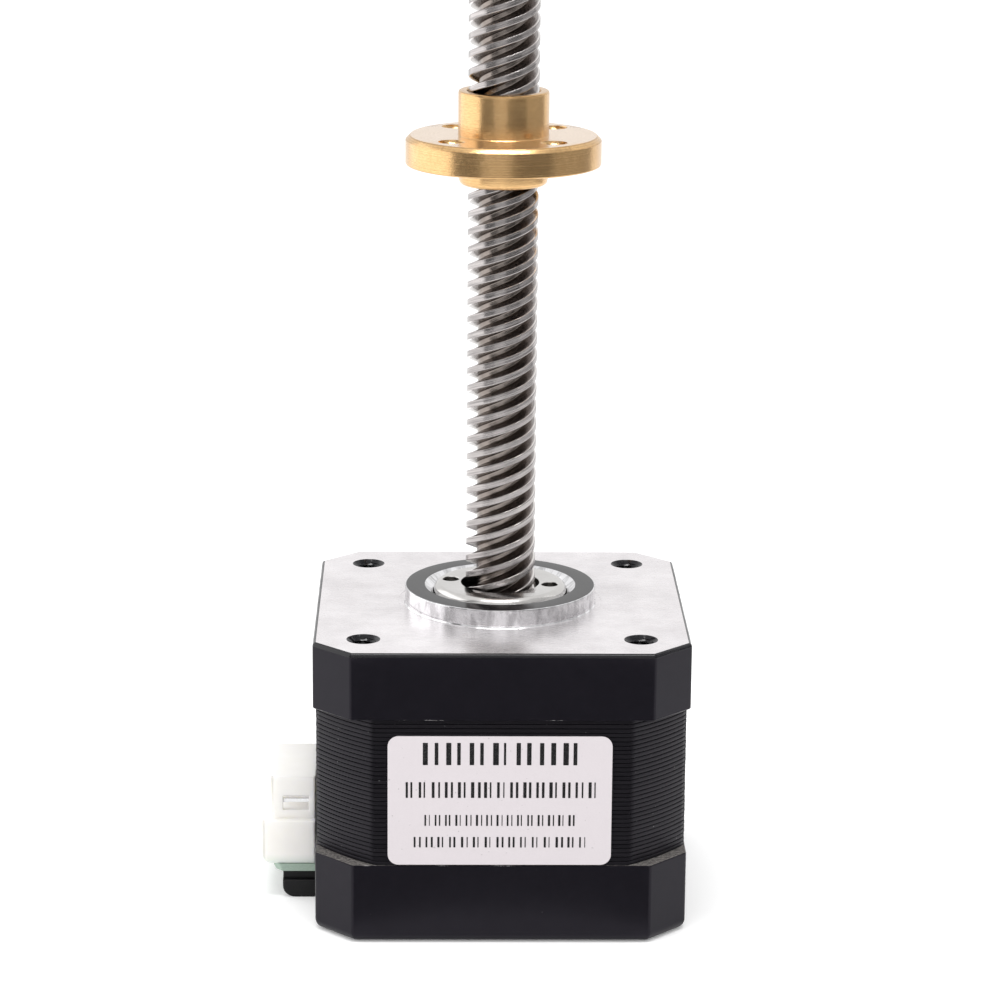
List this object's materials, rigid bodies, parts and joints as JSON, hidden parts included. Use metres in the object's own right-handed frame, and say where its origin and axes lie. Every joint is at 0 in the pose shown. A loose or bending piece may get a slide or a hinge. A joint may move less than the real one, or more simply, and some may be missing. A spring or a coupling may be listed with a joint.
{
  "type": "stepper motor with lead screw",
  "caption": "Square flanged hybrid stepper motor whose shaft is a multi-start trapezoidal lead screw carrying a brass flange nut, with a plug-in header on one side.",
  "frame": {"origin": "centre of the rear face, on the motor's axis, on the plane the motor stands on", "axes": "+Z along the screw away from the motor, -X towards the connector, -Y towards the label"},
  "size_m": [0.0487, 0.0424, 0.134],
  "materials": {
    "cap_paint": "satin black paint on die-cast aluminium; the mounting face and pilot are bare machined metal",
    "lamination": "black painted edges of stacked electrical steel sheets",
    "insulator_plastic": "matt black moulding",
    "winding_copper": "enamelled copper wire",
    "race_steel": "ground bearing steel",
    "ball_and_cage_steel": "polished balls in a pressed cage",
    "shield_steel": "pressed sheet",
    "spring_steel": "tempered sheet",
    "lock_ring_steel": "bright turned metal",
    "screw_zinc": "zinc plated",
    "board_green": "glass-fibre laminate",
    "header_nylon": "milky white nylon",
    "support_plastic": "satin black moulding",
    "pin_tin": "tinned",
    "label_paper": "white printed label, no lettering",
    "lead_screw_steel": "rolled thread, bright crests over darker flanks",
    "rotor_steel": "ground sheet steel",
    "magnet": "plated magnet",
    "nut_brass": "turned brass, fine tool marks"
  },
  "bodies": {
    "housing": {"front_end_cap": "cap_paint", "rear_end_cap": "cap_paint", "stator_stack": "lamination", "front_insulator": "insulator_plastic", "rear_insulator": "insulator_plastic", "coil_1": "winding_copper", "coil_2": "winding_copper", "coil_3": "winding_copper", "coil_4": "winding_copper", "coil_5": "winding_copper", "coil_6": "winding_copper", "coil_7": "winding_copper", "coil_8": "winding_copper", "front_bearing_outer_race": "race_steel", "rear_bearing_outer_race": "race_steel", "front_bearing_lower_shield": "shield_steel", "front_bearing_upper_shield": "shield_steel", "rear_bearing_lower_shield": "shield_steel", "rear_bearing_upper_shield": "shield_steel", "wave_washer": "spring_steel", "lock_ring": "lock_ring_steel", "tie_screw_1": "screw_zinc", "tie_screw_2": "screw_zinc", "tie_screw_3": "screw_zinc", "tie_screw_4": "screw_zinc", "connector_board": "board_green", "connector_header": "header_nylon", "connector_support": "support_plastic", "connector_pin_1": "pin_tin", "connector_pin_2": "pin_tin", "connector_pin_3": "pin_tin", "connector_pin_4": "pin_tin", "connector_pin_5": "pin_tin", "connector_pin_6": "pin_tin", "label": "label_paper"},
    "rotor": {"lead_screw": "lead_screw_steel", "rear_rotor_cup": "rotor_steel", "rotor_magnet": "magnet", "front_rotor_cup": "rotor_steel", "front_bearing_inner_race": "race_steel", "rear_bearing_inner_race": "race_steel"},
    "front_ball_set": {"front_bearing_balls_and_cage": "ball_and_cage_steel"},
    "rear_ball_set": {"rear_bearing_balls_and_cage": "ball_and_cage_steel"},
    "nut": {"lead_nut": "nut_brass"}
  },
  "joints": [
    {"name": "rotor_spin", "type": "hinge", "parent": "housing", "child": "rotor", "pos_m": [0, 0, 0.017], "axis": [0, 0, 1], "range_deg": [-1710, 2040]},
    {"name": "nut_travel", "type": "slide", "parent": "housing", "child": "nut", "axis": [0, 0, 1], "range_m": [-0.0454, 0.0381]},
    {"name": "front_ball_orbit", "type": "hinge", "parent": "housing", "child": "front_ball_set", "pos_m": [0, 0, 0.0302], "axis": [0, 0, 1], "range_deg": [-720, 858]},
    {"name": "rear_ball_orbit", "type": "hinge", "parent": "housing", "child": "rear_ball_set", "pos_m": [0, 0, 0.0042], "axis": [0, 0, 1], "range_deg": [-690, 822]}
  ],
  "couplings": [
    {"joint": "nut_travel", "follows": "rotor_spin", "m_per_rad": -0.0012732},
    {"joint": "front_ball_orbit", "follows": "rotor_spin", "ratio": 0.418},
    {"joint": "rear_ball_orbit", "follows": "rotor_spin", "ratio": 0.4}
  ]
}
